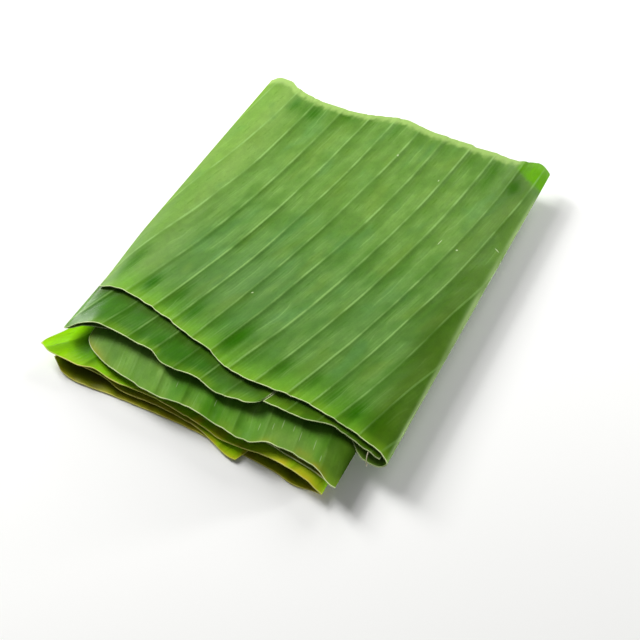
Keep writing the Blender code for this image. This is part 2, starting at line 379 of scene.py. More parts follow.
def vein_phase(across, down, places, seed):
    """Number of the strong vein, read from its place at the midrib, with a slight waver."""
    number = np.arange(len(places))
    before = places[0] - VEIN_PITCH * VEINS_BEFORE
    after = places[-1] + VEIN_PITCH * VEINS_AFTER
    knots = np.concatenate([[before], places, [after]])
    values = np.concatenate([[-VEINS_BEFORE], number, [len(places) - 1 + VEINS_AFTER]])
    waver = WAVER * soft_noise(across / WAVER_SIZE[0], down / WAVER_SIZE[1], seed + 1)
    return np.interp(across, knots, values) + waver


def pleat(phase):
    """1 at a vein, 0 after a short smooth drop, and back to 1 along a long smooth climb."""
    part = phase - np.floor(phase)
    return 1 - smooth_step(part / DROP_SHARE) + smooth_step((part - DROP_SHARE) / (1 - DROP_SHARE))


def ridge(phase, pitch, width):
    """Bell curve around each whole number of the phase, of the given width in mm."""
    away = np.abs(phase - np.round(phase)) * pitch
    return np.exp(-(away / width) ** 2)


print("pleat at a vein and beyond:", pleat(np.array([0.0, 0.1, 0.2, 0.6])).round(2))

# %% Relief added up
def relief_height(leaf, along, y, across, down, phase, folds, end):
    """Pleats, ridges, grooves, dents and sag in mm from the smooth sheet, less near a fold."""
    sheet = np.searchsorted(folds, along)
    ends = np.append(folds, [0, end])
    calm = smooth_step(np.min(np.abs(along[:, None] - ends), axis=1) / FOLD_CALM)
    strength = np.array(leaf["pleats"])[sheet] * (0.2 + 0.8 * calm)
    strength = strength * (0.3 + 0.7 * smooth_step(along / END_CALM))
    seed = leaf["seed"]
    lively = soft_noise(across / LIVELY_SIZE[0], down / LIVELY_SIZE[1], seed + 2)
    relief = PLEAT_DEPTH * strength * (0.72 + 0.75 * lively) * (pleat(phase) - 1.0)
    relief = relief + VEIN_RISE * strength * ridge(phase, VEIN_PITCH, VEIN_WIDTH)
    grooves = np.maximum(0, soft_noise(across / GROOVE_SIZE[0], down / GROOVE_SIZE[1], seed + 3))
    grooves = grooves * ridge(phase * GROOVES + 0.5, VEIN_PITCH / GROOVES, GROOVE_WIDTH)
    relief = relief - 2 * GROOVE_DEPTH * strength * grooves
    dents = soft_noise(across / DENT_SIZE[0], down / DENT_SIZE[1], seed + 5)
    relief = relief + DENT_DEPTH * np.array(leaf["dents"])[sheet] * calm * dents
    slack = 0.5 + 0.5 * soft_noise(along / SLACK_SIZE[0], y / SLACK_SIZE[1] + 20, seed + 4)
    return relief - SAG_DEPTH * leaf["sag"] * (sheet == 0) * calm * slack


print("a pleat drops", PLEAT_DEPTH, "mm within", round(DROP_SHARE * VEIN_PITCH, 1), "mm of its vein")

# %% [markdown]
# ## One blade as a surface of two parameters
#
# The first parameter is the length along the strip, the second the share of the way from the back
# margin to the front one. The section gives X and Z, and the margins give Y, with a fine ripple of
# about half a millimetre. The relief is then added along the surface's own direction, so it stays
# right inside a fold too.

# %% Middle surface of a folded blade
LEAN_RIGHT = 0.012
LEAN_FROM = -60.0
LEAN_OVER = 160.0
FRONT_Y = -130.0
PRESS_FROM = 85.0
PRESS_OVER = 35.0
PRESS_FRONT = -110.0
PRESS_DEEP = 70.0
PRESS_Z = 17.5
SLIT_REACH = 14.0
SLIT_FADE = 40.0
SLIT_PUSH = 12
END_RIM = 0.3
END_PACE = 1.6


def across_grid(grid):
    """Unit vectors square to the sheet: the cross product of its two grid directions."""
    cross = np.cross(np.gradient(grid, axis=1), -np.gradient(grid, axis=0))
    return cross / np.linalg.norm(cross, axis=2, keepdims=True)


def open_slit(cut, along, x, y, front, share):
    """A narrow notch that runs slantwise into the blade; rows behind it are pushed back."""
    place, wide, deep, slant = cut
    away = np.abs(along - place)
    notch = deep * np.clip(1 - away / (wide / 2), 0, 1) ** 0.5
    y = y + notch * share ** SLIT_PUSH
    into = y - front
    x = x + slant * into * np.exp(-(away / SLIT_REACH) ** 2) * (1 - smooth_step(into / SLIT_FADE))
    side = np.hypot(np.maximum(away - wide / 2, 0), np.maximum(into - deep, 0))
    return x, y, np.minimum(into, side)


def blade_surface(leaf):
    """Grid of points in mm, with what the finish needs to know about each of them."""
    path, length = flowing(leaf["section"])
    _, folds = along_strip(leaf["front"], path, length)
    cut = None
    if leaf["slit"]:
        sheet, at_x, wide, deep, slant = leaf["slit"]
        places, _ = along_strip([(sheet, at_x, 0)], path, length)
        cut = (places[0], wide, deep, slant)
    along = columns(path, length, folds, leaf["step"], cut)
    x = np.interp(along, length, path[:, 0])
    z = np.interp(along, length, path[:, 1])
    front = margin(leaf["front"], path, length, along)
    back = margin(leaf["back"], path, length, along)
    ripple = RIPPLE_DEPTH * leaf["ripple"]
    front = front + ripple * soft_noise(along / RIPPLE_LENGTH, 0 * along, leaf["seed"] + 6)
    back = back + ripple * soft_noise(along / RIPPLE_LENGTH, 0 * along, leaf["seed"] + 7)
    lift = margin(leaf["lift"], path, length, along)
    share = ROWS[:, None]
    y = back + (front - back) * share
    from_front = y - front
    if cut:
        x, y, from_front = open_slit(cut, along, x, y, front, share)
    from_end = np.minimum(along, length[-1] - along)
    from_front = np.minimum(from_front, END_RIM + END_PACE * from_end)
    lip = 1 - smooth_step((y - front) / LIP_REACH)
    behind = smooth_step((y - FLARE_FROM) / FLARE_OVER)
    free_end = 1 - smooth_step(along / END_REACH)
    x = x - free_end * (leaf["end_slant"] * lip ** 2 + leaf["end_flare"] * behind)
    z = z + lift * lip
    deep_in = smooth_step((y - PRESS_FRONT) / PRESS_DEEP)
    press = leaf["press"] * deep_in * smooth_step((x - PRESS_FROM) / PRESS_OVER)
    z = PRESS_Z + (z - PRESS_Z) * (1 - press)

    down = back - y
    across = vein_coordinate(along, down, leaf["lean"])
    starts = np.array([VEIN_START, VEIN_START + VEIN_PITCH])
    if leaf["veins"]:
        starts, _ = along_strip([(0, place, 0) for place in leaf["veins"]], path, length)
    phase = vein_phase(across, down, starts, leaf["seed"])
    relief = relief_height(leaf, along, y, across, down, phase, folds, length[-1])

    x = x + LEAN_RIGHT * (y - FRONT_Y) * smooth_step((x - LEAN_FROM) / LEAN_OVER)
    grid = np.stack([x, y, z + 0 * y], axis=2)
    grid = grid + across_grid(grid) * relief[..., None]
    facts = {
        "across": across, "down": down, "phase": phase, "from_front": from_front,
        "sheet": np.searchsorted(folds, along) + 0 * y, "along": along + 0 * y, "folds": folds}
    return grid, facts


middle_surface, _ = blade_surface(MIDDLE)
print("the middle blade in mm:", np.ptp(middle_surface, axis=(0, 1)).round(1))

# %% [markdown]
# ## From surface to closed blade
#
# A leaf has two faces and a rim, so the grid is offset by half the thickness to both sides and the
# gap is closed all round. Solidify would do this too, but doing it here lets the margin swell to
# the small bead that catches the light. Everything the finish needs is stored on the points: a UV
# map in mm across and along the veins, and attributes for the margins and the two faces.

# %% Build a closed blade mesh
BEAD_REACH = 0.9
SHARP_ANGLE = 60


def blade_mesh(name, grid, facts, tints):
    """Upper skin, lower skin and rim from one grid, with the finish's facts as attributes."""
    normal = across_grid(grid)
    bead = MARGIN_BEAD * np.exp(-(facts["from_front"] / BEAD_REACH) ** 2)
    half = (BLADE_THICK + bead)[..., None] / 2
    points = np.concatenate([(grid + normal * half).reshape(-1, 3),
                             (grid - normal * half).reshape(-1, 3)])
    points = np.clip(points - FOOT_MIDDLE, np.array(CAD_LOW) / MM, np.array(CAD_HIGH) / MM)
    rows, cols, _ = grid.shape
    index = np.arange(rows * cols).reshape(rows, cols)
    corners = (index[:-1, :-1], index[1:, :-1], index[1:, 1:], index[:-1, 1:])
    skin = np.stack([corner.ravel() for corner in corners], axis=1)
    under = skin[:, ::-1] + rows * cols
    ring = np.concatenate([index[0, :-1], index[:-1, -1], index[-1, :0:-1], index[:0:-1, 0]])
    after = np.roll(ring, -1)
    rim = np.stack([ring, after, after + rows * cols, ring + rows * cols], axis=1)
    faces = np.concatenate([skin, under, rim])

    mesh = bpy.data.meshes.new(name)
    mesh.from_pydata((points * MM).tolist(), [], faces.tolist())
    mesh.shade_smooth()
    mesh.set_sharp_from_angle(angle=np.radians(SHARP_ANGLE))
    uv = np.stack([facts["across"].ravel(), facts["down"].ravel()], axis=1)
    layer = mesh.uv_layers.new(name="vein_mm")
    layer.data.foreach_set("uv", np.concatenate([uv, uv])[faces.ravel()].ravel())
    values = {
        "vein_phase": facts["phase"], "from_front": facts["from_front"],
        "from_back": facts["down"], **tints}
    for label, value in values.items():
        flat = np.broadcast_to(value, (rows, cols)).ravel()
        store = mesh.attributes.new(label, "FLOAT", "POINT")
        store.data.foreach_set("value", np.concatenate([flat, flat]).astype(np.float32))
    store = mesh.attributes.new("underside", "FLOAT", "POINT")
    store.data.foreach_set("value", np.repeat([0.0, 1.0], rows * cols).astype(np.float32))
    piece = bpy.data.objects.new(name, mesh)
    bpy.context.scene.collection.objects.link(piece)
    print(name, ":", cols, "columns,", rows, "rows,", 2 * len(faces), "triangles")
    return piece


# %% [markdown]
# ## Colours as a printer would name them
#
# The greens are written as sRGB hex values and turned to the linear light that a renderer adds up.

# %% Colour helper
def linear(code):
    """sRGB to linear light: c/12.92 for dark values, else ((c + 0.055)/1.055)^2.4."""
    c = np.array([int(code[i:i + 2], 16) for i in (1, 3, 5)]) / 255
    light = np.where(c <= 0.04045, c / 12.92, ((c + 0.055) / 1.055) ** 2.4)
    return (*light.tolist(), 1.0)


print("leaf green in linear light:", np.round(linear("#5c8a38"), 3))

# %% Node helper
def add(tree, kind, sockets=None, **settings):
    """Adds one node, sets its properties, and fills sockets with values or links."""
    node = tree.nodes.new(kind)
    for key, value in settings.items():
        setattr(node, key, value)
    for key, value in (sockets or {}).items():
        if isinstance(value, bpy.types.NodeSocket):
            tree.links.new(value, node.inputs[key])
        else:
            node.inputs[key].default_value = value
    return node


# %% [markdown]
# ## Fresh banana blade
#
# The upper face is a smooth cuticle with a thin bloom of wax: a dielectric, half matt, with an IOR
# near 1.42 and weak reflections, because wax scatters them. Where the wax is rubbed off the green
# is deeper and the skin smoother. Light also passes through the blade and comes out yellow-green,
# which is why single layers glow, and a painted lime glow brightens them further. The pattern
# follows the veins, so it reads the UV map in mm: a fine grain of 0.8 x 1.7 mm, blotches of
# 4.5 x 7.5 mm, clouds of 10 x 24 mm and slow changes of 17 x 40 mm, all longer along the veins.
# Weak veins come and go every 2.6 mm, each strong vein has a pale line, and the drop beside it and
# the grooves get a darker strip of painted shade. Painted light, painted sheen and painted shade
# come from the points' attributes. Where the skin was hurt there are pale scars.

# %% Sizes and shares of the pattern
GRAIN = (0.8, 1.7)
BLOTCH = (4.5, 7.5)
CLOUD = (10.0, 24.0)
WANDER = (17.0, 40.0)
RIM_WIDTH = 0.7
WAX_IOR = 1.42
WAX_SHINE = 0.12
WAX_ROUGH = (0.42, 0.34)
BUMP = (0.4, 0.1 * MM)
THROUGH_SHARE = 0.12
UNDER_SHARE = 0.45
MIDDLING_SHARE = 0.22
GROOVE_SHARE = 0.3
print("light let through the blade:", round(100 * THROUGH_SHARE), "%")


# %% Blade material
def blade_material(name, greens, scars):
    """Greens by cloud and vein, painted light, sheen, glow and shade, pale margins, and light let
    through the blade.
    """
    material = bpy.data.materials.new(name)
    material.use_nodes = True
    tree = material.node_tree
    tree.nodes.clear()

    def math(operation, a, b=0.0, c=0.0):
        node = add(tree, "ShaderNodeMath", {0: a, 1: b, 2: c}, operation=operation)
        return node.outputs[0]

    def fade(value, start, end, high=1.0, low=0.0):
        node = add(tree, "ShaderNodeMapRange", {
            "Value": value, "From Min": start, "From Max": end, "To Min": high, "To Max": low},
            interpolation_type="SMOOTHSTEP")
        return node.outputs[0]

    def blend(factor, first, second, how="MIX"):
        node = add(tree, "ShaderNodeMix", {0: factor, 6: first, 7: second},
                   data_type="RGBA", blend_type=how)
        return node.outputs[2]

    def tint(colour, factor, green):
        return blend(factor, colour, linear(greens[green]))

    def fact(label):
        return add(tree, "ShaderNodeAttribute", attribute_name=label).outputs["Fac"]

    place = add(tree, "ShaderNodeSeparateXYZ", {
        0: add(tree, "ShaderNodeUVMap", uv_map="vein_mm").outputs[0]})
    across, down = place.outputs[0], place.outputs[1]

    def noise(size, detail, shift):
        where = add(tree, "ShaderNodeCombineXYZ", {
            0: math("MULTIPLY_ADD", across, 1 / size[0], shift),
            1: math("DIVIDE", down, size[1]), 2: shift})
        texture = add(tree, "ShaderNodeTexNoise", {
            "Vector": where.outputs[0], "Scale": 1.0, "Detail": detail, "Roughness": 0.5})
        return texture.outputs[0]

    def dash(u, v, wide, long):
        """1 inside an ellipse of the leaf's own coordinates, fading out at its edge."""
        aside = math("DIVIDE", math("SUBTRACT", across, u), wide)
        ahead = math("DIVIDE", math("SUBTRACT", down, v), long)
        reach = math("SQRT", math("MULTIPLY_ADD", aside, aside, math("MULTIPLY", ahead, ahead)))
        return fade(reach, 0.55, 1.0)

    # unevenness, from the finest to the widest
    grain = noise(GRAIN, 2.0, 0.0)
    blotch = noise(BLOTCH, 1.5, 3.1)
    cloud = noise(CLOUD, 1.5, 7.3)
    wander = noise(WANDER, 2.0, 11.9)

    # the veins: strong, weak and middling ones, the shaded strip beside a strong one, the grooves
    phase = fact("vein_phase")
    strong = math("MULTIPLY", math("PINGPONG", phase, 0.5), VEIN_PITCH)
    dark = math("MAXIMUM", fact("lush"), math("MULTIPLY", fact("painted_shade"), 1.6))
    line = math("MULTIPLY", fade(cloud, 0.36, 0.6, 0.3, 1.0), math("MULTIPLY_ADD", dark, -0.55, 1.0))
    line = math("MULTIPLY", fade(strong, 0.25, 1.1), line)
    uneven = math("MULTIPLY_ADD", wander, 1.6, math("MULTIPLY", phase, float(WEAK_VEINS)))
    weak = math("MULTIPLY", fade(math("PINGPONG", uneven, 0.5), 0.02, 0.32),
                math("SUBTRACT", fade(cloud, 0.42, 0.62, 0.15, 1.0), fact("painted_shade")))
    between = math("PINGPONG", math("MULTIPLY_ADD", wander, 0.5, math("ADD", phase, 0.27)), 0.5)
    middling = math("MULTIPLY", fade(math("MULTIPLY", between, VEIN_PITCH), 0.1, 0.6),
                    math("SUBTRACT", fade(cloud, 0.45, 0.6, 0.0, 1.0), fact("painted_shade")))
    part = math("FRACT", phase)
    beside = math("MULTIPLY", fade(part, 0.04, 0.6, 1.0, 0.0), math("SUBTRACT", 1.0, line))
    in_groove = math("PINGPONG", math("MULTIPLY", phase, float(GROOVES)), 0.5)
    groove = math("MULTIPLY", fade(in_groove, 0.02, 0.16), fade(blotch, 0.5, 0.66, 0.0, 1.0))

    # the greens of the skin with painted light, sheen, shade and glow, then the painted shade beside
    # the veins, then the veins on them
    colour = blend(fade(cloud, 0.32, 0.68, 0.0, 1.0), linear(greens["deep"]), linear(greens["mid"]))
    # painted light: lighter where the lamps fall most
    colour = tint(colour, fact("painted_light"), "painted_light")
    # painted sheen: a bluish veil where the lamps reflect
    colour = tint(colour, fact("painted_sheen"), "painted_sheen")
    colour = tint(colour, fade(wander, 0.52, 0.72, 0.0, 0.35), "warm_green")
    colour = tint(colour, fade(wander, 0.28, 0.46, 0.35, 0.0), "cool_green")
    colour = tint(colour, fact("fresh"), "fresh")
    colour = tint(colour, fact("lush"), "lush")
    # painted shade: darker towards the right fold, under the edge of the sheet above and inside the
    # lower folds
    colour = tint(colour, fact("painted_shade"), "painted_shade")
    # painted glow: lime where a single layer lies against the light
    colour = tint(colour, fact("painted_glow"), "painted_glow")
    # painted shade in the drop beside each strong vein and, below, in the grooves
    pleat_shade = math("MULTIPLY_ADD", fact("painted_light"), -0.3, fade(wander, 0.3, 0.7, 0.28, 0.55))
    colour = tint(colour, math("MULTIPLY", beside, pleat_shade), "pleat_shade")
    colour = tint(colour, math("MULTIPLY", groove, GROOVE_SHARE), "pleat_shade")
    colour = tint(colour, math("MAXIMUM", math("MULTIPLY", weak, greens["weak"]), 0.0), "vein")
    colour = tint(colour, math("MAXIMUM", math("MULTIPLY", middling, MIDDLING_SHARE), 0.0), "vein")
    colour = tint(colour, math("MULTIPLY", line, greens["show"]), "vein")

    # lighter and darker specks, the underside, the worn crease with its painted highlight, and the
    # margins with a painted highlight on the rim
    shade = math("MULTIPLY", fade(grain, 0.25, 0.75, 0.95, 1.05), fade(blotch, 0.25, 0.75, 0.93, 1.07))
    colour = blend(1.0, colour, shade, "MULTIPLY")
    under = math("MULTIPLY_ADD", fact("painted_glow"), -0.8 * UNDER_SHARE, UNDER_SHARE)
    colour = tint(colour, math("MULTIPLY", fact("underside"), under), "under")
    # worn crease with a painted highlight along the fold
    colour = tint(colour, fact("crease_wear_and_highlight"), "crease_wear_and_highlight")
    from_front = fact("from_front")
    near_edge = math("MULTIPLY", fade(from_front, 0.8, 9.0), fade(cloud, 0.35, 0.65, 0.15, 0.5))
    colour = tint(colour, near_edge, "edge")
    colour = tint(colour, fact("autumn"), "autumn")
    ragged = math("MULTIPLY_ADD", blotch, -9.0, fact("from_back"))
    whole = math("MULTIPLY_ADD", fact("painted_glow"), -0.8, 0.9)
    colour = tint(colour, math("MULTIPLY", fade(ragged, -2.0, 5.0), whole), "cut")
    for u, v, wide, long in scars:
        colour = tint(colour, math("MULTIPLY", dash(u, v, wide, long), greens["scar_show"]), "scar")
    # pale margin with a painted highlight on the rim
    colour = tint(colour, math("MULTIPLY", fade(from_front, 0.5 * RIM_WIDTH, RIM_WIDTH),
                               fade(cloud, 0.3, 0.7, 0.65, 1.0)), "rim")

    # gloss, fine bump and the light that comes through
    height = math("MULTIPLY_ADD", weak, 0.5, math("MULTIPLY", grain, 0.5))
    bump = add(tree, "ShaderNodeBump", {
        "Height": height, "Strength": BUMP[0], "Distance": BUMP[1]})
    bare = math("MAXIMUM", fact("lush"), math("MAXIMUM", fact("painted_glow"), fact("painted_shade")))
    rough = math("MULTIPLY", fade(blotch, 0.3, 0.7, *WAX_ROUGH), math("MULTIPLY_ADD", bare, -0.5, 1.0))
    skin = add(tree, "ShaderNodeBsdfPrincipled", {
        "Base Color": colour, "Roughness": rough, "IOR": WAX_IOR,
        "Specular IOR Level": WAX_SHINE, "Normal": bump.outputs[0]})
    through = add(tree, "ShaderNodeBsdfTranslucent", {
        "Color": blend(0.5, colour, linear(greens["through"])), "Normal": bump.outputs[0]})
    both = add(tree, "ShaderNodeMixShader", {
        0: THROUGH_SHARE, 1: skin.outputs[0], 2: through.outputs[0]})
    add(tree, "ShaderNodeOutputMaterial", {0: both.outputs[0]})
    print(name, ":", len(tree.nodes), "nodes")
    return material


# %% [markdown]
# ## Where each tint lies
#
# A leaf is painted lighter where the lamps fall on it most, with a painted bluish sheen where they
# reflect, and a painted yellow-green glow where only one layer lies against the light. Along the
# front margin it is fresher, and behind both margins it is deepest right beside the veins, in
# patches. A few deep patches are placed one by one, by X, Y, half width, half length and strength.
# Painted shade darkens the sheet towards the right fold and inside the lower folds, and the inner
# sheet carries a painted shadow where the edge of the upper one lies over it. These broad changes
# are formulas of the place on the packet, stored on the points.

# %% Tints of the uppermost blade
def around(grid, x, y, wide, long):
    """Bell curve around a place, as wide in X and as long in Y as given."""
    return np.exp(-((grid[..., 0] - x) / wide) ** 2 - ((grid[..., 1] - y) / long) ** 2)


def patches(facts, wide, long, seed):
    """Soft noise from 0 to 1 in the leaf's own coordinates."""
    return 0.5 + 0.5 * soft_noise(facts["across"] / wide, facts["down"] / long, seed)


def beside_vein(facts):
    """Bell curve just past each strong vein, where the blade lies deepest."""
    part = facts["phase"] - np.floor(facts["phase"])
    return np.exp(-((part - 0.3) / 0.22) ** 2)


DEEP_STROKES = (
    (-88.0, -77.0, 9.0, 11.0, 0.5), (-60.0, -80.0, 11.0, 15.0, 0.8), (-8.0, -90.0, 15.0, 19.0, 0.85),
    (88.0, -108.0, 18.0, 14.0, 0.9), (112.0, -112.0, 11.0, 13.0, 1.0), (109.0, 134.0, 8.0, 9.0, 1.05),
    (88.0, 132.0, 22.0, 22.0, 0.45), (-74.0, 136.0, 16.0, 13.0, 0.75), (-40.0, 148.0, 14.0, 8.0, 0.7))


def top_tints(grid, facts):
    """Painted light on the left, painted sheen in the middle, painted shade at the right fold, painted
    glow at the back corner.
    """
    x, y = grid[..., 0], grid[..., 1]
    outer = (facts["sheet"] < 0.5) * 1.0
    inner = (facts["sheet"] > 1.5) * 1.0
    wide_patch = patches(facts, 30.0, 80.0, 51)
    patch = patches(facts, 11.0, 26.0, 52)

    # painted light at the left end and towards the back, where the lamps fall, and painted sheen in the
    # middle
    painted_light = outer * (0.7 * (1 - smooth_step((x + 100) / 26)) + 0.3 * smooth_step(y / 60))
    painted_light = painted_light + inner * 0.2 * (1 - smooth_step((x + 112) / 22))
    painted_sheen = 0.9 * around(grid, -30, -45, 60, 50) + 0.4 * around(grid, 70, -30, 40, 40)
    painted_sheen = outer * np.clip(painted_sheen, 0, 1) * (0.5 + 0.5 * wide_patch)

    # deep green behind both margins, in patches, and all over the inner sheet
    front_zone = np.exp(-((facts["from_front"] - 18) / 12) ** 2)
    front_zone = front_zone * (1 - smooth_step((y + 60) / 30))
    back_zone = np.exp(-((facts["down"] - 17) / 9) ** 2) * smooth_step((x + 100) / 14)
    deepest = beside_vein(facts)
    lush = outer * (front_zone * patch ** 1.5 + 0.45 * back_zone * (0.2 + 0.8 * patch))
    lush = lush * (0.3 + 0.7 * deepest)
    for x_at, y_at, wide, long, strength in DEEP_STROKES:
        stroke = strength * around(grid, x_at, y_at, wide, long)
        lush = lush + outer * stroke * (0.5 + 0.5 * deepest)
    lighter = 1 - 0.5 * around(grid, 8, -128, 20, 20)
    lush = lush + inner * lighter * (0.55 + 0.45 * wide_patch) * smooth_step((x + 126) / 17)

    # fresh along the front margin
    fresh = outer * 0.9 * np.exp(-(facts["from_front"] / 17) ** 2) * smooth_step((x + 122) / 20)
    fresh = fresh + inner * 0.35 * np.exp(-(facts["from_front"] / 6) ** 2)

    # painted shade towards the right fold, and a painted shadow where the upper sheet's edge lies over
    # the inner one
    painted_shade = outer * smooth_step((x - 92) / 20) * (1 - 0.5 * smooth_step((y + 60) / 160))
    above = np.array([point[1:] for point in TOP["front"] if point[0] == 0], float)
    covered = np.exp(-((y + 2.0 - np.interp(x, above[:, 0], above[:, 1])) / 4.0) ** 2)
    painted_shade = painted_shade + inner * (0.8 * covered + 0.7 * around(grid, 52, -126, 20, 7))

    # painted glow where a single layer stands out at the back corner; a worn crease with a painted
    # highlight along the right fold, and a painted highlight at the back left tip
    corner = smooth_step((x - 101) / 4) * smooth_step((y - 151 + 0.48 * (x - 103.7)) / 4)
    painted_glow = outer * (0.95 * corner + 0.3 * around(grid, -108, -85, 14, 16))
    crease_variation = 0.7 + 0.3 * soft_noise(y / 17.0, 0 * y, 55)
    reach = 1.2 + 1.2 * np.exp(-((y - 15) / 75) ** 2)
    crease_wear_and_highlight = 0.8 * np.exp(-((facts["along"] - facts["folds"][0] + 0.9 * reach) / reach) ** 2)
    crease_wear_and_highlight = crease_wear_and_highlight * crease_variation * (1 - smooth_step((y - 128) / 16))
    crease_wear_and_highlight = crease_wear_and_highlight + 0.7 * outer * around(grid, -113, 163, 12, 6)
    return {"painted_light": np.clip(painted_light, 0, 1), "painted_sheen": painted_sheen, "lush": np.clip(lush, 0, 1),
            "fresh": fresh, "painted_glow": np.clip(painted_glow, 0, 1), "painted_shade": np.clip(0.75 * painted_shade, 0, 1),
            "crease_wear_and_highlight": np.clip(crease_wear_and_highlight, 0, 1), "autumn": 0 * x}


print("deep patches placed one by one:", len(DEEP_STROKES))

# %% Tints of the two blades below
def middle_tints(grid, facts):
    """Mottled with deep patches, painted light at the left and near the front, painted shade towards
    the right, rusty at the rounded end, rusty specks along the margin.
    """
    x = grid[..., 0]
    patch = patches(facts, 24.0, 30.0, 61)
    small = patches(facts, 6.0, 7.0, 62)
    edge = np.exp(-facts["from_front"] / 4.0)
    rust = 0.5 * around(grid, -93, -143, 12, 9) + 0.9 * small ** 3 * smooth_step((x - 20) / 30)
    painted_light = 0.8 * (1 - smooth_step((x + 70) / 70)) * patch + 0.8 * around(grid, 56, -144, 24, 16)
    return {"painted_light": np.clip(painted_light, 0, 1), "painted_sheen": 0 * x, "lush": 0.8 * (1 - patch),
            "fresh": 0 * x, "painted_glow": 0 * x, "painted_shade": 0.8 * smooth_step((x - 72) / 24),
            "crease_wear_and_highlight": 0 * x, "autumn": np.clip(edge * rust, 0, 1)}


def bottom_tints(grid, facts):
    """Painted lime glow at its tip, flap and front margin, yellowing along its margin, painted
    brown-green shade inside the fold.
    """
    x = grid[..., 0]
    upper = (facts["sheet"] < 0.5) * 1.0
    inner = (facts["sheet"] > 1.5) * 1.0
    patch = patches(facts, 24.0, 60.0, 71)
    small = patches(facts, 7.0, 9.0, 72)
    tip = upper * (1 - smooth_step((x + 124) / 25))
    flap = inner * smooth_step((x + 4) / 12)
    near = np.exp(-facts["from_front"] / 6.0)
    # painted lime glow at the tip, on the flap and along the front margin
    painted_lime_glow = tip + flap + 0.8 * upper * np.exp(-facts["from_front"] / 10.0)
    yellow = upper * near * smooth_step((x + 70) / 40) * (0.1 + 1.1 * small ** 2)
    yellow = yellow + 0.9 * (1 - upper) * np.exp(-facts["from_front"] / 3.0) * (0.3 + 0.7 * small)
    return {"painted_light": 0 * x, "painted_sheen": 0 * x, "lush": upper * 0.8 * (1 - tip), "fresh": 0 * x,
            "painted_glow": np.clip(painted_lime_glow, 0, 1),
            "painted_shade": np.clip((1 - upper) * (1 - flap) * (0.75 + 0.2 * patch), 0, 1),
            "crease_wear_and_highlight": 0 * x, "autumn": np.clip(0.9 * yellow + 0.3 * flap * near * small, 0, 1)}


# %% [markdown]
# ## The three blades, dressed
#
# Each dressed blade stands in for the solid of the same name and rides on the one body there is.
# The scars are given by their place in X and Y on the upper sheet of their blade, and their half
# width and half length in mm.

# %% Greens and scars
# Some greens paint light and shade: a lighter green where the lamps fall, a bluish sheen, a lime glow
# of single layers, dark shade greens and a dark strip beside the veins. The crease colour is a worn
# crease with a painted highlight, and the rim colour is the pale margin with a painted highlight.
TOP_GREENS = {
    "deep": "#5a8932", "mid": "#709c46", "painted_light": "#86ac52", "painted_sheen": "#608a4a", "lush": "#2c6c00",
    "fresh": "#74b02a", "warm_green": "#7a9c3c", "cool_green": "#609652", "pleat_shade": "#3a680c",
    "vein": "#9cca70", "under": "#5c7430", "painted_glow": "#66ac00", "painted_shade": "#45640e", "crease_wear_and_highlight": "#a8c480",
    "edge": "#7fae1e", "autumn": "#c8a228", "cut": "#aacd70", "scar": "#c3d9a0", "rim": "#deecb0",
    "through": "#a8d23a", "show": 0.66, "weak": 0.08, "scar_show": 1.0}
MIDDLE_GREENS = {
    **TOP_GREENS, "deep": "#62a428", "mid": "#8cc64c", "lush": "#42800a", "edge": "#7fa52a",
    "cool_green": "#64a03c", "warm_green": "#8cb044", "show": 0.18, "weak": 0.03, "scar_show": 0.4}
BOTTOM_GREENS = {
    **TOP_GREENS, "deep": "#3f8406", "mid": "#529608", "lush": "#3a8c04", "pleat_shade": "#347004",
    "vein": "#84bc30", "under": "#544c0c", "painted_glow": "#a4f000", "painted_shade": "#5e5a18", "edge": "#a3c80c",
    "autumn": "#e4cc30", "rim": "#e6e27c", "through": "#b4dc20",
    "show": 0.35, "weak": 0.05}
TOP_SCARS = (
    (94.2, 50.6, 0.9, 0.9), (14.0, 121.0, 0.7, 1.4), (53.8, 110.2, 0.5, 1.2),
    (-18.4, -53.7, 0.8, 0.8), (80.0, 52.0, 0.4, 3.6), (118.5, 68.4, 2.6, 0.5))
MIDDLE_SCARS = (
    (51.1, -133.6, 0.45, 4.5), (59.1, -133.0, 0.4, 3.0), (64.7, -136.2, 0.4, 5.0),
    (45.9, -137.3, 0.35, 3.5), (76.9, -138.4, 0.4, 5.0), (37.6, -143.0, 0.35, 4.0),
    (84.0, -144.0, 0.4, 3.0), (-28.0, -137.0, 0.35, 3.0), (2.0, -141.0, 0.35, 3.5))


def scar_places(grid, facts, scars):
    """Leaf coordinates of the upper sheet's grid point nearest to each scar."""
    outer = facts["sheet"] < 0.5
    places = []
    for x, y, wide, long in scars:
        away = np.hypot(grid[..., 0] - x, grid[..., 1] - y) + 1000.0 * ~outer
        spot = np.unravel_index(np.argmin(away), away.shape)
        places.append((float(facts["across"][spot]), float(facts["down"][spot]), wide, long))
    return places


print("scars placed one by one:", len(TOP_SCARS) + len(MIDDLE_SCARS))

# %% Make the blades
for node, leaf, tints, greens, scars in (
        ("leaf_top", TOP, top_tints, TOP_GREENS, TOP_SCARS),
        ("leaf_middle", MIDDLE, middle_tints, MIDDLE_GREENS, MIDDLE_SCARS),
        ("leaf_bottom", BOTTOM, bottom_tints, BOTTOM_GREENS, ())):
    grid, facts = blade_surface(leaf)
    piece = blade_mesh(node + "_blade", grid, facts, tints(grid, facts))
    places = scar_places(grid, facts, scars)
    piece.data.materials.append(blade_material("waxy banana blade, " + node, greens, places))
    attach(piece, "root")
    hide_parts(node)

# %% [markdown]
# ## The torn fibre
#
# One strand of the margin has torn loose and hangs from the inner sheet inside the right fold. It
# is a thin tapering tube along a short curve, with a little knob where it curled up.

# %% Hanging fibre
FIBRE_POINTS = (
    (109.4, -127.4, 19.3), (109.8, -130.4, 17.6), (110.5, -132.8, 14.4), (111.2, -133.6, 11.2))
FIBRE_RADIUS = 0.36
FIBRE_SPECK = 2 * MM


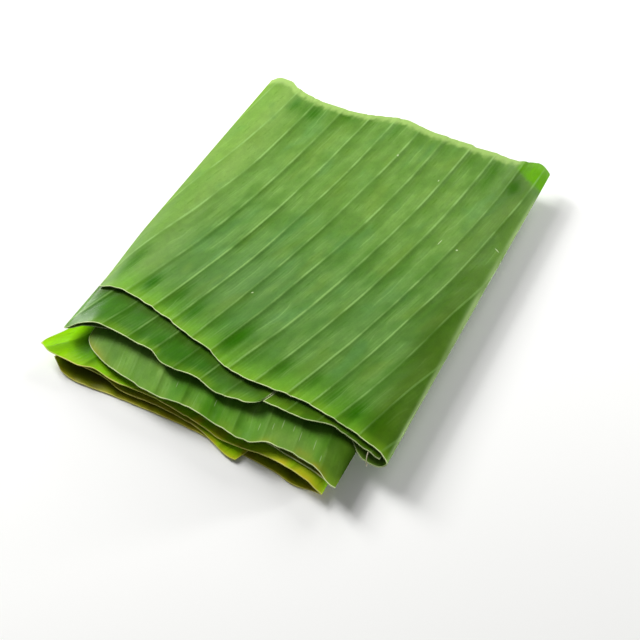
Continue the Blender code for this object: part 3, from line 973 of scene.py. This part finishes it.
def fibre_mesh(name, points, radius, sides=8, steps=28):
    """Circle carried along a smooth curve; its radius shrinks along the way and swells at the end."""
    values = np.array(points) - FOOT_MIDDLE
    knots = np.append(0.0, np.cumsum(np.linalg.norm(np.diff(values, axis=0), axis=1)))
    at = np.linspace(0, knots[-1], steps)
    centre = hermite(knots, values, np.gradient(values, knots, axis=0), at)
    tangent = np.gradient(centre, axis=0)
    tangent = tangent / np.linalg.norm(tangent, axis=1, keepdims=True)
    side = np.cross(tangent, (0.0, 0.0, 1.0))
    side = side / np.linalg.norm(side, axis=1, keepdims=True)
    other = np.cross(tangent, side)
    share = at / at[-1]
    size = radius * (1 - 0.35 * share + 0.9 * np.exp(-((share - 0.95) / 0.06) ** 2))
    turn = np.linspace(0, 2 * np.pi, sides, endpoint=False)
    ring = np.cos(turn)[None, :, None] * side[:, None] + np.sin(turn)[None, :, None] * other[:, None]
    points = (centre[:, None] + ring * size[:, None, None]).reshape(-1, 3)
    index = np.arange(steps * sides).reshape(steps, sides)
    after = np.roll(index, -1, axis=1)
    quads = np.stack([index[:-1], index[1:], after[1:], after[:-1]], axis=2).reshape(-1, 4)
    mesh = bpy.data.meshes.new(name)
    mesh.from_pydata((points * MM).tolist(), [],
                     quads.tolist() + [index[0].tolist(), index[-1][::-1].tolist()])
    mesh.shade_smooth()
    return mesh


def fibre_material():
    """Dry plant fibre: cream, matt, paler and browner by a noise of 2 mm."""
    material = bpy.data.materials.new("dry leaf fibre")
    material.use_nodes = True
    tree = material.node_tree
    shader = tree.nodes["Principled BSDF"]
    where = add(tree, "ShaderNodeTexCoord").outputs["Object"]
    speck = add(tree, "ShaderNodeTexNoise", {"Vector": where, "Scale": 1 / FIBRE_SPECK, "Detail": 2.0})
    tone = add(tree, "ShaderNodeMix", {0: speck.outputs[0], 6: linear("#d8cca8"), 7: linear("#f4ecd4")},
               data_type="RGBA")
    tree.links.new(tone.outputs[2], shader.inputs["Base Color"])
    shader.inputs["Roughness"].default_value = 0.7
    return material


strand = fibre_mesh("leaf_top_fibre", FIBRE_POINTS, FIBRE_RADIUS)
fibre = bpy.data.objects.new("leaf_top_fibre", strand)
bpy.context.scene.collection.objects.link(fibre)
fibre.data.materials.append(fibre_material())
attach(fibre, "root")
print("fibre hangs", round(FIBRE_POINTS[0][2] - FIBRE_POINTS[-1][2], 1), "mm down")

# %% [markdown]
# ## Floor, light and camera
#
# The packet lies on a plain, nearly white floor in soft light. Two panels at the left shade the
# pleats, one low and one higher. A third stands behind, so that every wavy margin throws a narrow
# dark shadow towards the viewer, and a low one at the right draws a soft line along the fold. The
# camera stands above the front right corner.

# %% Floor
def matt_floor(size):
    """A level square of white board, centred on the origin."""
    half = size / 2
    mesh = bpy.data.meshes.new("floor")
    mesh.from_pydata([(-half, -half, 0), (half, -half, 0), (half, half, 0), (-half, half, 0)], [],
                     [(0, 1, 2, 3)])
    floor = bpy.data.objects.new("floor", mesh)
    bpy.context.scene.collection.objects.link(floor)
    material = bpy.data.materials.new("white board")
    material.use_nodes = True
    shader = material.node_tree.nodes["Principled BSDF"]
    shader.inputs["Base Color"].default_value = linear("#fafaf8")
    shader.inputs["Roughness"].default_value = 0.8
    mesh.materials.append(material)
    return floor


FLOOR_SIZE = 6.0
FLOOR_GAP = 0.2 * MM
floor = matt_floor(FLOOR_SIZE)
floor.location.z = -FLOOR_GAP
print("floor:", FLOOR_SIZE, "m wide and", round(FLOOR_GAP / MM, 1), "mm below the packet")

# %% Lights
WORLD_STRENGTH = 0.14


def panel(name, place, aim, size, watts):
    """A square area light that faces the point it aims at."""
    light = bpy.data.lights.new(name, "AREA")
    light.size = size
    light.energy = watts
    lamp = bpy.data.objects.new(name, light)
    lamp.location = place
    lamp.rotation_euler = (Vector(aim) - Vector(place)).to_track_quat("-Z", "Y").to_euler()
    bpy.context.scene.collection.objects.link(lamp)
    print(name, "panel:", watts, "W")


panel("low left", (-1.35, 0.45, 0.8), (0, 0, 0), 0.5, 25.0)
panel("high left", (-1.12, 0.35, 1.09), (0, 0, 0), 0.6, 13.0)
panel("back", (0.3, 1.7, 0.8), (0, 0, 0), 0.7, 17.0)
panel("fold", (1.3, 0.95, 0.16), (0.1, 0, 0.02), 0.26, 24.0)
world = bpy.data.worlds.new("studio")
bpy.context.scene.world = world
world.use_nodes = True
world.node_tree.nodes["Background"].inputs["Color"].default_value = (1.0, 1.0, 1.0, 1.0)
world.node_tree.nodes["Background"].inputs["Strength"].default_value = WORLD_STRENGTH
bpy.context.scene.view_settings.view_transform = "Standard"

# %% Camera
AZIMUTH, ELEVATION = np.radians(27.505), np.radians(52.108)
DISTANCE = 0.68845
FOCAL_LENGTH, SENSOR_WIDTH = 56.25, 36.0
AIM = Vector((0.03797, -0.05617, 0.0254))
back = Vector((np.sin(AZIMUTH) * np.cos(ELEVATION), -np.cos(AZIMUTH) * np.cos(ELEVATION),
               np.sin(ELEVATION)))
lens = bpy.data.cameras.new("camera")
lens.lens = FOCAL_LENGTH
lens.sensor_width = SENSOR_WIDTH
lens.clip_start = 0.01
camera = bpy.data.objects.new("camera", lens)
camera.location = AIM + back * DISTANCE
camera.rotation_euler = (-back).to_track_quat("-Z", "Y").to_euler()
bpy.context.scene.collection.objects.link(camera)
bpy.context.scene.camera = camera
print("camera at", [round(v, 3) for v in camera.location])
